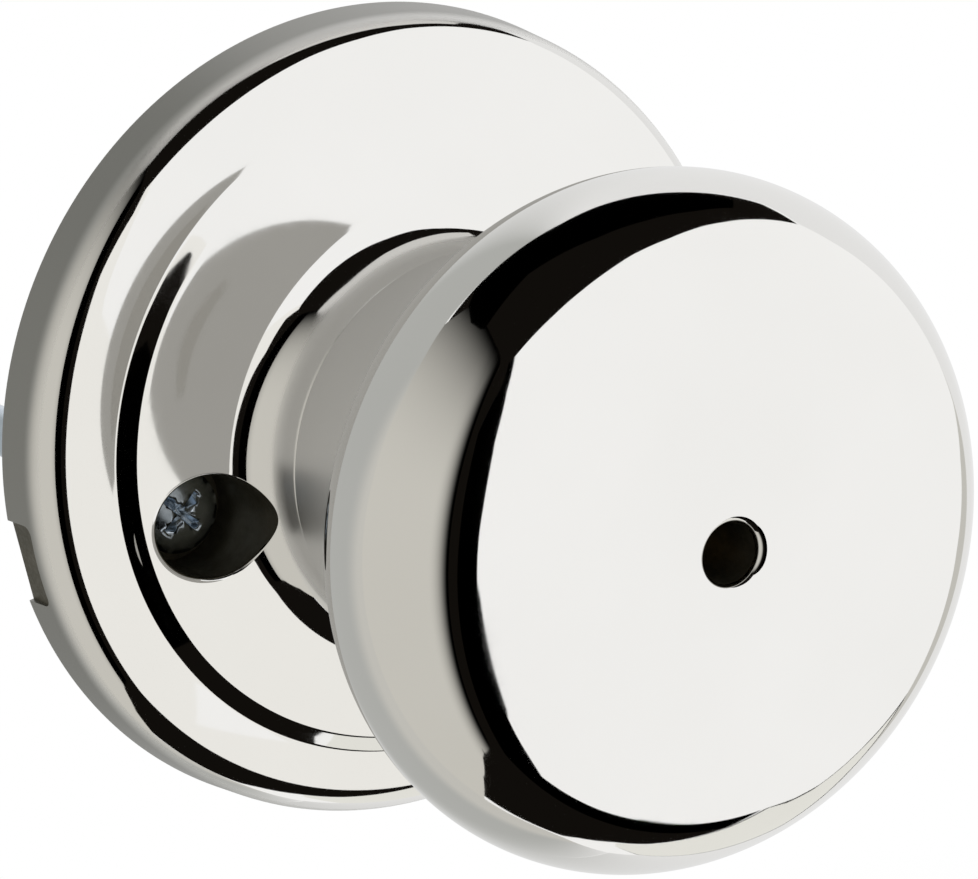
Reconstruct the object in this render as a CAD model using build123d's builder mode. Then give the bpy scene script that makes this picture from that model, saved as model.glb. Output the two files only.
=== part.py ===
from build123d import *
import os
from math import asin, cos, degrees, isclose, radians, sin, sqrt, tan

os.makedirs("parts", exist_ok=True)

# Driving sizes in millimetres and degrees. A height is measured out of the door's face.

# Rosette: a hollow casting with a stepped ring and a flare that rises into a short collar
rose_radius = 34.925
rose_wall = 2.2
rim_height = 5.85
rim_lean = 0.5
rim_round = 2.0
band_width = 6.2
band_rise = 1.85
band_crown = 30.0
step_width = 1.1
step_rise = 0.95
step_round = 0.5
flare_angle = 10.8
collar_radius = 16.6
collar_height = 16.9
collar_fillet = 4.0
collar_lip = 0.5

# Pry notch in the back edge of the rim, beside one mounting screw
notch_width = 7.4
notch_height = 3.4
notch_depth = 0.6
notch_round = 0.9

# Mounting screws: pan heads that sit deep in two access holes through the flare
screw_spacing = 42.88
screw_radius = 2.08
screw_clearance = 0.22
screw_neck_radius = 1.85
screw_reach = 42.0
head_radius = 3.6
head_height = 2.3
head_dome = 0.9
recess_width = 1.15
recess_length = 4.6
recess_depth = 1.5
recess_taper = 9.0
recess_turn = 32.0
access_radius = 4.61
access_round = 0.4
seat_height = 2.9
boss_wall = 1.7

# Back plate and the small screws that hold it to the casting
plate_thickness = 1.6
plate_clearance = 0.15
plate_land = 0.8
plate_screw_edge = 4.0
plate_screw_spread = 25.0
plate_screw_radius = 1.5
plate_screw_head = 2.8
plate_screw_length = 5.0
plate_boss_wall = 1.6

# Collar bushing that the knob's sleeve turns in
journal_radius = 11.0
running_clearance = 0.05
fit_clearance = 0.02
bushing_wall = 2.4
bushing_flange = 1.5
bushing_flange_thickness = 1.4

# Spring pocket, drive hub, stops and return spring
pocket_gap = 0.05
pocket_height = 7.2
knob_turn = 60.0
flat_depth = 1.4
hub_wall = 2.0
hub_thickness = 1.8
hub_lift = 0.3
lug_reach = 1.6
finger_width = 1.5
finger_gap = 0.55
finger_thickness = 0.55
post_radius = 0.75
post_gap = 0.3
post_grip = 1.8
stop_radius = 1.0
stop_gap = 0.3
stop_gap_angle = 1.5
wire_radius = 0.45
wire_sides = 6
coil_gap = 0.75
coil_pitch = 1.05
coil_turns = 2
leg_gap = 0.12

# Knob: a shallow dome, a round shoulder, a tight rear edge and a slim neck
knob_radius = 28.57
equator_height = 45.05
shoulder_radius = 12.15
shoulder_turn = 40.0
brow_radius = 6.0
face_radius = 124.0
side_radius = 10.0
rear_depth = 5.45
rear_edge_round = 0.9
rear_dish = 5.0
rear_fillet = 7.0
neck_radius = 17.1
neck_lean = 6.0
neck_lip = 0.5
neck_gap = 0.45
sleeve_step = 1.0
face_wall = 8.9
release_hole_radius = 2.5
release_hole_round = 0.8

# Sleeve, spindle and the rings that hold them
sleeve_depth = 20.7
sleeve_bore = 8.0
sleeve_tail = 2.6
web_height = 15.0
clip_pocket_radius = 6.6
clip_pocket_depth = 5.0
washer_thickness = 0.85
washer_width = 4.5
ring_thickness = 1.0
ring_groove_depth = 0.8
ring_width = 2.6
ring_opening = 70.0
ring_gap = 0.05
spindle_width = 7.6
spindle_corner = 0.8
spindle_clearance = 0.05
spindle_front_height = 18.0
spindle_reach = 46.0
spindle_bore = 2.0
clip_thickness = 0.8
clip_seat_radius = 3.3
clip_width = 2.9
clip_opening = 80.0

# Emergency release: a sprung head behind the hole in the knob's face, on a long rod
release_gap = 0.1
plunger_radius = 5.5
plunger_length = 5.4
rod_radius = 1.6
rod_grip = 3.4
rod_reach = 52.0
rod_tip_radius = 1.35
rod_tip_length = 5.0
seat_thickness = 1.0
release_coil_radius = 3.6
release_wire_radius = 0.4
release_coil_turns = 6
rod_bush_radius = 2.9
rod_bush_length = 8.0

# Planes: a profile holds radius and height, the front plane looks out of the door
profile_plane = Plane(origin=(0, 0, 0), x_dir=(0, 0, -1), z_dir=(-1, 0, 0))
front_plane = Plane(origin=(0, 0, 0), x_dir=(1, 0, 0), z_dir=(0, -1, 0))
back_plane = Plane(origin=(0, 0, 0), x_dir=(1, 0, 0), z_dir=(0, 1, 0))
knob_axis = Axis.Y
outward_axis = Axis((0, 0, 0), (0, -1, 0))
top_angle = 90.0


def round_corner(point, radius):
    """Round the corner of the open sketch that lies nearest to a point."""
    fillet(vertices().sort_by_distance(Vector(*point))[0], radius)


def write_node(builder, name):
    """Label a finished piece and write it to its own file."""
    builder.part.label = name
    export_step(builder.part, f"parts/{name}.step")


# Radii of the spring pocket's contents, each one outside the one before
knob_bore = journal_radius + sleeve_step
flat_distance = journal_radius - flat_depth
hub_radius = journal_radius + hub_wall
lug_radius = hub_radius + lug_reach
stop_circle = hub_radius + stop_gap + stop_radius
coil_radius = journal_radius + coil_gap + wire_radius
finger_inner = coil_radius + wire_radius + finger_gap
post_circle = finger_inner + finger_thickness + post_gap + post_radius
pocket_radius = post_circle + post_radius + pocket_gap

# Rosette outline, from the door outwards
rim_top_radius = rose_radius - rim_lean
band_inner_radius = rim_top_radius - band_width
step_foot_height = rim_height + band_rise
step_top_radius = band_inner_radius - step_width
step_top_height = step_foot_height + step_rise
flare_slope = tan(radians(flare_angle))
flare_top_height = step_top_height + (step_top_radius - collar_radius) * flare_slope
bushing_radius = journal_radius + running_clearance + bushing_wall
flange_radius = bushing_radius + bushing_flange
flange_seat = collar_height - bushing_flange_thickness
ring_wall_radius = pocket_radius + rose_wall
ceiling_height = step_foot_height - rose_wall
boss_radius = access_radius + boss_wall
plate_boss_radius = plate_screw_radius + plate_boss_wall
plate_radius = rose_radius - rose_wall - plate_clearance
plate_half_width = ring_wall_radius + plate_land
plate_screw_circle = plate_radius - plate_screw_edge
plate_screw_x = plate_screw_circle * sin(radians(plate_screw_spread))
plate_screw_z = plate_screw_circle * cos(radians(plate_screw_spread))
plate_screw_places = [
    (x, z) for x in (-plate_screw_x, plate_screw_x) for z in (-plate_screw_z, plate_screw_z)
]
screw_x = screw_spacing / 2
screw_places = [(-screw_x, 0), (screw_x, 0)]

# The hollow behind the rosette, with the screw bosses left standing in it
with BuildPart() as rose_hollow:
    with BuildSketch(profile_plane):
        Polygon(
            (ring_wall_radius, 0),
            (rose_radius - rose_wall, 0),
            (rose_radius - rose_wall, plate_thickness),
            (rim_top_radius - rose_wall, rim_height - rose_wall),
            (band_inner_radius, ceiling_height),
            (ring_wall_radius, ceiling_height + (band_inner_radius - ring_wall_radius) * flare_slope),
            align=None,
        )
    revolve(axis=knob_axis)
    with BuildSketch(front_plane.offset(plate_thickness)):
        with Locations(*screw_places):
            Circle(boss_radius)
        with Locations(*plate_screw_places):
            Circle(plate_boss_radius)
    extrude(amount=collar_height, mode=Mode.SUBTRACT)

with BuildPart() as rosette:
    with BuildSketch(profile_plane):
        with BuildLine():
            rim_wall = Line((rose_radius, 0), (rim_top_radius, rim_height))
            band = RadiusArc(rim_wall @ 1, (band_inner_radius, step_foot_height), band_crown)
            Polyline(
                band @ 1,
                (step_top_radius, step_top_height),
                (collar_radius, flare_top_height),
                (collar_radius, collar_height),
                (0, collar_height),
                (0, 0),
                (rose_radius, 0),
            )
        make_face()
        round_corner((rim_top_radius, rim_height), rim_round)
        round_corner((band_inner_radius, step_foot_height), step_round)
        round_corner((step_top_radius, step_top_height), step_round)
        round_corner((collar_radius, flare_top_height), collar_fillet)
        round_corner((collar_radius, collar_height), collar_lip)
    revolve(axis=knob_axis)
    add(rose_hollow.part, mode=Mode.SUBTRACT)
    with BuildSketch(front_plane.offset(seat_height)):
        with Locations(*screw_places):
            Circle(access_radius)
    extrude(amount=collar_height, mode=Mode.SUBTRACT)
    rim_edges = edges().filter_by(
        lambda edge: edge.bounding_box().max.Y < -ceiling_height
        and abs(abs(edge.center().X) - screw_x) < access_radius
        and abs(edge.center().Z) < access_radius
        and edge.geom_type != GeomType.CIRCLE
    )
    fillet(rim_edges, access_round)
    with BuildSketch(front_plane):
        with Locations(*screw_places):
            Circle(screw_radius + screw_clearance)
    extrude(amount=collar_height, mode=Mode.SUBTRACT)
    with BuildSketch(front_plane):
        Circle(plate_radius)
    extrude(amount=plate_thickness, mode=Mode.SUBTRACT)
    with BuildSketch(front_plane):
        Circle(pocket_radius)
    extrude(amount=pocket_height, mode=Mode.SUBTRACT)
    with BuildSketch(front_plane):
        Circle(bushing_radius + fit_clearance)
    extrude(amount=collar_height, mode=Mode.SUBTRACT)
    with BuildSketch(front_plane.offset(flange_seat)):
        Circle(flange_radius + fit_clearance)
    extrude(amount=collar_height, mode=Mode.SUBTRACT)
    with BuildSketch(front_plane):
        with Locations(*plate_screw_places):
            Circle(plate_screw_radius + fit_clearance)
    extrude(amount=plate_screw_length, mode=Mode.SUBTRACT)
    with BuildSketch(front_plane):
        with Locations((0, post_circle)):
            Circle(post_radius + fit_clearance)
    extrude(amount=pocket_height + post_grip, mode=Mode.SUBTRACT)
    notch_plane = Plane(origin=(-rose_radius + notch_depth, 0, 0), x_dir=(0, 0, 1), z_dir=(-1, 0, 0))
    with BuildSketch(notch_plane):
        RectangleRounded(notch_width, 2 * notch_height, notch_round)
    extrude(amount=notch_depth, mode=Mode.SUBTRACT)
write_node(rosette, "rosette")

# Back plate: a steel disc with two flats, flush with the rim, that closes the spring pocket
stop_half_angle = degrees(asin(stop_radius / stop_circle))
lug_half_angle = degrees(asin(finger_width / 2 / stop_circle))
stop_angle = knob_turn + lug_half_angle + stop_half_angle + stop_gap_angle
stop_angles = [top_angle - stop_angle, top_angle + stop_angle]
stop_places = [
    (stop_circle * cos(radians(angle)), stop_circle * sin(radians(angle))) for angle in stop_angles
]
with BuildPart() as back_plate:
    with BuildSketch(front_plane):
        Circle(plate_radius)
        Rectangle(2 * plate_half_width, 2 * plate_radius, mode=Mode.INTERSECT)
        Circle(journal_radius + running_clearance, mode=Mode.SUBTRACT)
        with Locations(*stop_places):
            Circle(stop_radius + fit_clearance, mode=Mode.SUBTRACT)
    extrude(amount=plate_thickness)
    with Locations(back_plane):
        with Locations(*plate_screw_places):
            CounterSinkHole(
                plate_screw_radius + fit_clearance,
                plate_screw_head + fit_clearance,
                depth=plate_thickness,
                counter_sink_angle=90,
            )
write_node(back_plate, "back_plate")

# Plate screws: flat heads, flush with the back of the plate
with BuildPart() as plate_screws:
    for x, z in plate_screw_places:
        axis_point = (x, 0, z)
        with BuildSketch(Plane(origin=axis_point, x_dir=(1, 0, 0), z_dir=(0, 0, -1))):
            Polygon(
                (0, 0),
                (plate_screw_head, 0),
                (plate_screw_radius, plate_screw_head - plate_screw_radius),
                (plate_screw_radius, plate_screw_length - plate_screw_radius / 2),
                (plate_screw_radius / 2, plate_screw_length),
                (0, plate_screw_length),
                align=None,
            )
        revolve(axis=Axis(axis_point, (0, 1, 0)))
write_node(plate_screws, "plate_screws")

# Mounting screws: crowned pan heads with a cross recess, necked to the door's face and threaded from there
head_top = seat_height + head_height
with BuildPart() as mounting_screws:
    for x, z in screw_places:
        with BuildSketch(Plane(origin=(x, 0, z), x_dir=(1, 0, 0), z_dir=(0, 0, -1))):
            with BuildLine():
                crown = TangentArc((0, head_top), (head_radius, head_top - head_dome), tangent=(1, 0))
                Polyline(
                    crown @ 1,
                    (head_radius, seat_height),
                    (screw_neck_radius, seat_height),
                    (screw_neck_radius, 0),
                    (screw_radius, 0),
                    (screw_radius, -screw_reach + screw_radius / 2),
                    (screw_radius / 2, -screw_reach),
                    (0, -screw_reach),
                    (0, head_top),
                )
            make_face()
        revolve(axis=Axis((x, 0, z), (0, 1, 0)))
    with BuildSketch(front_plane.offset(head_top + head_dome)):
        with Locations(*[Location((x, z, 0), (0, 0, recess_turn)) for x, z in screw_places]):
            Rectangle(recess_length, recess_width)
            Rectangle(recess_width, recess_length)
    extrude(amount=-recess_depth - head_dome, taper=recess_taper, mode=Mode.SUBTRACT)
write_node(mounting_screws, "mounting_screws")

# Collar bushing: a flanged plastic bearing in the rosette's collar
with BuildPart() as collar_bushing:
    with BuildSketch(profile_plane):
        Polygon(
            (journal_radius + running_clearance, pocket_height),
            (bushing_radius, pocket_height),
            (bushing_radius, flange_seat),
            (flange_radius, flange_seat),
            (flange_radius, collar_height),
            (journal_radius + running_clearance, collar_height),
            align=None,
        )
    revolve(axis=knob_axis)
write_node(collar_bushing, "collar_bushing")

# Stop pins: riveted in the plate, they end the knob's turn each way
hub_bottom = plate_thickness + hub_lift
hub_top = hub_bottom + hub_thickness
with BuildPart() as stop_pins:
    with BuildSketch(front_plane):
        with Locations(*stop_places):
            Circle(stop_radius)
    extrude(amount=hub_top)
write_node(stop_pins, "stop_pins")

# Spring post: a pin pressed into the roof of the pocket, between the spring's legs
with BuildPart() as spring_post:
    with BuildSketch(front_plane.offset(hub_top + hub_lift)):
        with Locations((0, post_circle)):
            Circle(post_radius)
    extrude(amount=pocket_height + post_grip - hub_top - hub_lift)
write_node(spring_post, "spring_post")

# Return spring: a torsion coil whose two legs hold the post and the hub's finger between them
leg_offset = finger_width / 2 + leg_gap + wire_radius
leg_half_angle = degrees(asin(leg_offset / coil_radius))
leg_foot = coil_radius * cos(radians(leg_half_angle))
leg_tip = pocket_radius - leg_gap - wire_radius
coil_height = coil_pitch * (coil_turns - leg_half_angle / 180)
coil_bottom = (hub_top + pocket_height - coil_height) / 2
with BuildLine() as coil:
    Helix(coil_pitch, coil_height, coil_radius, center=(0, -coil_bottom, 0), direction=(0, -1, 0))
coil_path = coil.line.rotate(outward_axis, top_angle + leg_half_angle)
with BuildPart() as return_spring:
    with BuildSketch(Plane(origin=coil_path @ 0, z_dir=coil_path % 0)):
        RegularPolygon(wire_radius, wire_sides)
    sweep(path=coil_path, is_frenet=True)
    for x, height in [(-leg_offset, coil_bottom), (leg_offset, coil_bottom + coil_height)]:
        with Locations((x, -height, leg_foot)):
            Sphere(wire_radius)
        with BuildSketch(Plane(origin=(x, -height, leg_foot), z_dir=(0, 0, 1))):
            Circle(wire_radius)
        extrude(amount=leg_tip - leg_foot)
write_node(return_spring, "return_spring")

# Knob outline: the face, brow and shoulder are arcs that run smoothly into each other
neck_start = collar_height + neck_gap
brow_step = shoulder_radius - brow_radius
brow_radius_at = knob_radius - shoulder_radius + brow_step * cos(radians(shoulder_turn))
brow_height = equator_height + brow_step * sin(radians(shoulder_turn))
face_centre = brow_height - sqrt((face_radius - brow_radius) ** 2 - brow_radius_at ** 2)
face_height = face_centre + face_radius
face_turn = degrees(asin(brow_radius_at / (face_radius - brow_radius)))
brow_turn = 90 - shoulder_turn - face_turn
rear_turn = degrees(asin(rear_depth / side_radius))
bore_end = face_height - face_wall
with BuildPart() as knob:
    with BuildSketch(profile_plane):
        with BuildLine():
            shoulder = JernArc((knob_radius, equator_height), (0, 1), shoulder_radius, shoulder_turn)
            brow = JernArc(shoulder @ 1, shoulder % 1, brow_radius, brow_turn)
            face = JernArc(brow @ 1, brow % 1, face_radius, face_turn)
            side = JernArc((knob_radius, equator_height), (0, -1), side_radius, -rear_turn)
            rear_edge = side @ 1
            lean = tan(radians(neck_lean))
            dish = tan(radians(rear_dish))
            rear_start = rear_edge.Y - dish * rear_edge.X
            neck_top_radius = (neck_radius + lean * (rear_start - neck_start)) / (1 - lean * dish)
            neck_top = (neck_top_radius, rear_start + dish * neck_top_radius)
            Polyline(
                face @ 1,
                (0, bore_end),
                (knob_bore, bore_end),
                (knob_bore, neck_start),
                (neck_radius, neck_start),
                neck_top,
                rear_edge,
            )
        make_face()
        rear_run = (rear_edge - Vector(*neck_top)).length - 2 * rear_edge_round
        rear_fillet_limit = rear_run / tan(radians((90 - neck_lean - rear_dish) / 2))
        round_corner(neck_top, min(rear_fillet, rear_fillet_limit))
        round_corner(rear_edge, rear_edge_round)
        round_corner((neck_radius, neck_start), neck_lip)
    revolve(axis=knob_axis)
    with BuildSketch(front_plane):
        Circle(release_hole_radius)
    extrude(amount=2 * face_height, mode=Mode.SUBTRACT)
    hole_rims = edges().filter_by(GeomType.CIRCLE).filter_by(
        lambda edge: isclose(edge.radius, release_hole_radius)
    )
    fillet(hole_rims.sort_by(Axis.Y)[0], release_hole_round)
write_node(knob, "knob")

# Sleeve: the steel journal, pressed into the knob and flattened at its tail to carry the hub
shoulder_height = collar_height + running_clearance
sleeve_front = neck_start + sleeve_depth
seat_step = web_height + clip_pocket_depth
washer_back = -ring_gap - washer_thickness
ring_back = washer_back - ring_thickness
groove_radius = journal_radius - ring_groove_depth
socket_width = spindle_width + 2 * spindle_clearance
with BuildPart() as shank_sleeve:
    with BuildSketch(profile_plane):
        Polygon(
            (0, -sleeve_tail),
            (journal_radius, -sleeve_tail),
            (journal_radius, ring_back - ring_gap),
            (groove_radius, ring_back - ring_gap),
            (groove_radius, washer_back),
            (journal_radius, washer_back),
            (journal_radius, shoulder_height),
            (knob_bore - fit_clearance, shoulder_height),
            (knob_bore - fit_clearance, sleeve_front),
            (sleeve_bore, sleeve_front),
            (sleeve_bore, seat_step),
            (clip_pocket_radius, seat_step),
            (clip_pocket_radius, web_height),
            (0, web_height),
            align=None,
        )
    revolve(axis=knob_axis)
    with BuildSketch(front_plane.offset(-sleeve_tail)):
        Circle(knob_bore)
        Rectangle(2 * flat_distance, 2 * knob_bore, mode=Mode.SUBTRACT)
    extrude(amount=sleeve_tail + hub_top, mode=Mode.SUBTRACT)
    with BuildSketch(front_plane.offset(-sleeve_tail)):
        RectangleRounded(socket_width, socket_width, spindle_corner)
    extrude(amount=sleeve_tail + web_height, mode=Mode.SUBTRACT)
write_node(shank_sleeve, "shank_sleeve")

# Drive hub: a ring on the sleeve's flats, with a lug for the stops and a finger for the spring
with BuildPart() as drive_hub:
    with BuildSketch(front_plane.offset(hub_bottom)):
        Circle(hub_radius)
        with Locations((0, (journal_radius + lug_radius) / 2)):
            Rectangle(finger_width, lug_radius - journal_radius)
        with BuildSketch(mode=Mode.SUBTRACT):
            Circle(journal_radius + fit_clearance)
            Rectangle(2 * (flat_distance + fit_clearance), 4 * journal_radius, mode=Mode.INTERSECT)
    extrude(amount=hub_thickness)
    with BuildSketch(front_plane.offset(hub_top)):
        with Locations((0, finger_inner + finger_thickness / 2)):
            Rectangle(finger_width, finger_thickness)
    extrude(amount=pocket_height - hub_lift - hub_top)
write_node(drive_hub, "drive_hub")

# Thrust washer and open retaining ring: they hold the knob to the plate from behind
with BuildPart() as thrust_washer:
    with BuildSketch(front_plane.offset(washer_back)):
        Circle(journal_radius + washer_width)
        Circle(journal_radius + running_clearance, mode=Mode.SUBTRACT)
    extrude(amount=washer_thickness)
write_node(thrust_washer, "thrust_washer")


def ring_mouth(reach, opening):
    """Give the three corners of a ring's open mouth, which faces down."""
    half = radians(opening / 2)
    return [(0, 0), (-reach * tan(half), -reach), (reach * tan(half), -reach)]


with BuildPart() as retaining_ring:
    with BuildSketch(front_plane.offset(ring_back)):
        Circle(groove_radius + ring_width)
        Circle(groove_radius + fit_clearance, mode=Mode.SUBTRACT)
        Polygon(*ring_mouth(2 * knob_bore, ring_opening), align=None, mode=Mode.SUBTRACT)
    extrude(amount=ring_thickness)
write_node(retaining_ring, "retaining_ring")

# Spindle: a square bar with a bore for the release rod, held in the sleeve by an open clip
with BuildPart() as spindle:
    with BuildSketch(front_plane.offset(-spindle_reach)):
        RectangleRounded(spindle_width, spindle_width, spindle_corner)
        Circle(spindle_bore, mode=Mode.SUBTRACT)
    extrude(amount=spindle_reach + spindle_front_height)
    with BuildSketch(front_plane.offset(web_height)):
        Rectangle(2 * spindle_width, 2 * spindle_width)
        Circle(clip_seat_radius, mode=Mode.SUBTRACT)
    extrude(amount=clip_thickness, mode=Mode.SUBTRACT)
    with BuildSketch(front_plane.offset(-spindle_reach)):
        Circle(rod_bush_radius)
    extrude(amount=rod_bush_length, mode=Mode.SUBTRACT)
write_node(spindle, "spindle")

with BuildPart() as spindle_clip:
    with BuildSketch(front_plane.offset(web_height)):
        Circle(clip_seat_radius + clip_width)
        Circle(clip_seat_radius + fit_clearance, mode=Mode.SUBTRACT)
        Polygon(*ring_mouth(2 * spindle_width, clip_opening), align=None, mode=Mode.SUBTRACT)
    extrude(amount=clip_thickness)
write_node(spindle_clip, "spindle_clip")

# Rod bushing: a plastic bush that guides the rod at the spindle's far end
with BuildPart() as rod_bushing:
    with BuildSketch(front_plane.offset(-spindle_reach)):
        Circle(rod_bush_radius - fit_clearance)
        Circle(rod_radius + running_clearance, mode=Mode.SUBTRACT)
    extrude(amount=rod_bush_length - fit_clearance)
write_node(rod_bushing, "rod_bushing")

# Spring seat: a washer on the step inside the sleeve, under the release spring
with BuildPart() as spring_seat:
    with BuildSketch(front_plane.offset(seat_step)):
        Circle(sleeve_bore - fit_clearance)
        Circle(spindle_bore, mode=Mode.SUBTRACT)
    extrude(amount=seat_thickness)
write_node(spring_seat, "spring_seat")

# Head guide: a plastic liner in the knob's bore, in front of the sleeve
with BuildPart() as head_guide:
    with BuildSketch(front_plane.offset(sleeve_front)):
        Circle(knob_bore - fit_clearance)
        Circle(plunger_radius + running_clearance, mode=Mode.SUBTRACT)
    extrude(amount=bore_end - sleeve_front)
write_node(head_guide, "head_guide")

# Release head: a turned brass plunger that rests against the end of the knob's bore
plunger_front = bore_end - release_gap
plunger_back = plunger_front - plunger_length
with BuildPart() as release_head:
    with BuildSketch(profile_plane):
        Polygon(
            (0, plunger_back + rod_grip),
            (rod_radius + fit_clearance, plunger_back + rod_grip),
            (rod_radius + fit_clearance, plunger_back),
            (plunger_radius, plunger_back),
            (plunger_radius, plunger_front - rod_radius / 2),
            (plunger_radius - rod_radius / 2, plunger_front),
            (rod_radius, plunger_front),
            (0, plunger_front - rod_radius / 2),
            align=None,
        )
    revolve(axis=knob_axis)
write_node(release_head, "release_head")

# Release rod: drawn wire, pressed into the head, with a turned tip past the spindle's end
with BuildPart() as release_rod:
    with BuildSketch(front_plane.offset(-rod_reach)):
        Circle(rod_tip_radius)
    extrude(amount=rod_tip_length)
    with BuildSketch(front_plane.offset(rod_tip_length - rod_reach)):
        Circle(rod_radius)
    extrude(amount=rod_reach - rod_tip_length + plunger_back + rod_grip)
write_node(release_rod, "release_rod")

# Release spring: a compression coil between its seat and the back of the head
release_coil_height = plunger_back - seat_step - seat_thickness - 2 * release_wire_radius
release_coil_bottom = seat_step + seat_thickness + release_wire_radius
with BuildLine() as release_coil:
    Helix(
        release_coil_height / release_coil_turns,
        release_coil_height,
        release_coil_radius,
        center=(0, -release_coil_bottom, 0),
        direction=(0, -1, 0),
    )
with BuildPart() as release_spring:
    with BuildSketch(Plane(origin=release_coil.line @ 0, z_dir=release_coil.line % 0)):
        RegularPolygon(release_wire_radius, wire_sides)
    sweep(path=release_coil.line, is_frenet=True)
write_node(release_spring, "release_spring")
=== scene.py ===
import bpy
from math import acos, asin, atan2, cos, hypot, pi, radians, sin, sqrt, tan
from mathutils import Matrix, Vector


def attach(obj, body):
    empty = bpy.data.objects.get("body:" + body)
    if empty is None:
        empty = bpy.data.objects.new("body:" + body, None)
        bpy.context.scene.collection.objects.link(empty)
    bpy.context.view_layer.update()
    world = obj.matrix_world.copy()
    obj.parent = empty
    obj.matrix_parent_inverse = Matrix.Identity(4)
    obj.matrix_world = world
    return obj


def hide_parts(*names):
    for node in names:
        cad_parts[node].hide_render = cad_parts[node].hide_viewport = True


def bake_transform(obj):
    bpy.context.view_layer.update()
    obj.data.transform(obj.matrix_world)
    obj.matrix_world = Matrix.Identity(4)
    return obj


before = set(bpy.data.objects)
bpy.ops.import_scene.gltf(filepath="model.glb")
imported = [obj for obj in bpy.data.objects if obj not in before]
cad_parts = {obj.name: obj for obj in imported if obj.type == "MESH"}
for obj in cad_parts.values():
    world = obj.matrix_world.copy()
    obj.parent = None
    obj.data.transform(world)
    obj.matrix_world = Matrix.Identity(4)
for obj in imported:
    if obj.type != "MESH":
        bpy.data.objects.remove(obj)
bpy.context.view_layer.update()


# Rosette: the round cover over the bore in the door, a hollow zinc casting.
# It is turned, buffed and plated in bright nickel, and the side of its rim is left satin, with
# painted shade that colours it darker towards the door.
# Two deep holes in the flare let the mounting screws in, and a notch in the rim takes a pry tool.
mm = 0.001
rose_radius = 34.925
rim_height = 6.05
rim_round = 3.6
rim_top = (34.425, rim_height)
band_crown = 45.0
step_foot = (28.35, 7.68)
step_top = (26.95, 8.66)
step_round = 0.7
collar_radius = 16.6
collar_height = 16.9
collar_top = (collar_radius, collar_height)
collar_fillet = 4.5
collar_lip = 0.5
flare_top = (collar_radius, 11.73)
flange_radius = 14.97
flange_height = 15.5
bushing_radius = 13.47
pocket_radius = 15.6
pocket_height = 7.2
pocket_wall = 17.8
plate_height = 1.6
skirt_radius = 32.725
hollow = [
    (flange_radius, collar_height),
    (flange_radius, flange_height),
    (bushing_radius, flange_height),
    (bushing_radius, pocket_height),
    (pocket_radius, pocket_height),
    (pocket_radius, plate_height),
    (pocket_wall, plate_height),
    (pocket_wall, 7.489),
    (28.225, 5.5),
    (32.225, 3.65),
    (skirt_radius, plate_height),
    (skirt_radius, 0),
    (rose_radius, 0),
]
turn_steps = 256
turned_smooth = radians(32)
weld = 0.002 * mm


def start_point(name, place):
    """Begin a new mesh with one point, and stay in edit mode."""
    bpy.ops.object.select_all(action="DESELECT")
    bpy.ops.mesh.primitive_plane_add(size=mm, location=(0, 0, 0))
    bpy.context.object.name = name
    bpy.ops.object.mode_set(mode="EDIT")
    bpy.ops.mesh.select_mode(type="VERT")
    bpy.ops.mesh.merge(type="CENTER")
    bpy.ops.transform.translate(value=place)
    return bpy.context.object


def start_outline(name, radius, height):
    """Begin a section with one point, given by its radius and its height off the door."""
    return start_point(name, (0, -height * mm, radius * mm)), (radius, height)


def line_to(pen, radius, height, steps=1):
    """Extrude the last point of the section along a straight line."""
    move = (0, -(height - pen[1]) * mm / steps, (radius - pen[0]) * mm / steps)
    for _ in range(steps):
        bpy.ops.mesh.extrude_region_move(TRANSFORM_OT_translate={"value": move})
    return radius, height


def arc_to(pen, centre, turn, steps):
    """Spin the last point of the section about a centre, anticlockwise for a positive turn."""
    bpy.ops.mesh.spin(
        steps=steps,
        angle=-turn,
        center=(0, -centre[1] * mm, centre[0] * mm),
        axis=(1, 0, 0),
    )
    across, up = pen[0] - centre[0], pen[1] - centre[1]
    return (
        centre[0] + across * cos(turn) - up * sin(turn),
        centre[1] + across * sin(turn) + up * cos(turn),
    )


def corner_to(pen, corner, after, radius, steps, line_steps=1):
    """Run to a corner and round it, so that the section then heads for the point after it."""
    back = Vector((pen[0] - corner[0], pen[1] - corner[1])).normalized()
    ahead = Vector((after[0] - corner[0], after[1] - corner[1])).normalized()
    half = acos(back.dot(ahead)) / 2
    start = Vector(corner) + back * radius / tan(half)
    centre = Vector(corner) + (back + ahead).normalized() * radius / sin(half)
    side = 1 if back.x * ahead.y - back.y * ahead.x < 0 else -1
    pen = line_to(pen, start.x, start.y, line_steps)
    return arc_to(pen, centre, side * (pi - 2 * half), steps)


def round_centre(point, along, inward, radius, arc_centre, arc_radius):
    """Centre of the rounding between a straight line and the inside of an arc."""
    start = Vector(point) + Vector(inward) * radius - Vector(arc_centre)
    run = Vector(along)
    middle = start.dot(run)
    length = sqrt(middle ** 2 - start.length_squared + (arc_radius - radius) ** 2) - middle
    return Vector(arc_centre) + start + run * length


def close_seams():
    """Merge the doubled points of the mesh in edit mode, and turn its faces outwards."""
    bpy.ops.mesh.select_all(action="SELECT")
    bpy.ops.mesh.remove_doubles(threshold=weld)
    bpy.ops.mesh.normals_make_consistent(inside=False)
    bpy.ops.object.mode_set(mode="OBJECT")


def turn_outline(steps):
    """Spin the whole section round the knob's axis and close it."""
    bpy.ops.mesh.select_all(action="SELECT")
    bpy.ops.mesh.spin(steps=steps, angle=2 * pi, center=(0, 0, 0), axis=(0, 1, 0))
    close_seams()


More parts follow.
